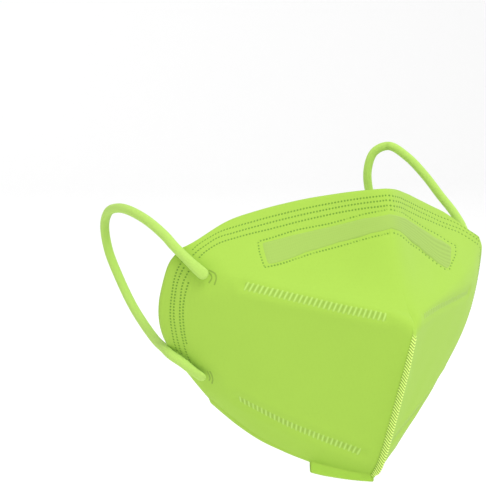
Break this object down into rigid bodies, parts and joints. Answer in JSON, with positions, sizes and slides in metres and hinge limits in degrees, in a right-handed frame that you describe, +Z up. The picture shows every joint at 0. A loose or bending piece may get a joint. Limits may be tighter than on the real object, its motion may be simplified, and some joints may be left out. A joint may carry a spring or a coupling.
{
  "type": "foldable respirator mask",
  "caption": "Foldable fabric respirator mask with a pointed front, a welded chin seam, a nose strip and two elastic ear loops.",
  "frame": {"origin": "middle of the face opening, level with the side edges", "axes": "+Z up from the chin to the nose, -Y to the front, X from ear to ear"},
  "size_m": [0.1892, 0.1363, 0.1524],
  "materials": {
    "nonwoven": "matte spunbonded nonwoven, lime green, with fine emboss",
    "strip_cover": "fine mesh seen through the thin cover, greyer green",
    "elastic": "soft knitted elastic, lime green"
  },
  "bodies": {
    "root": {"mask_shell": "nonwoven", "nose_strip": "strip_cover", "ear_loop_left": "elastic", "ear_loop_right": "elastic"}
  },
  "joints": []
}
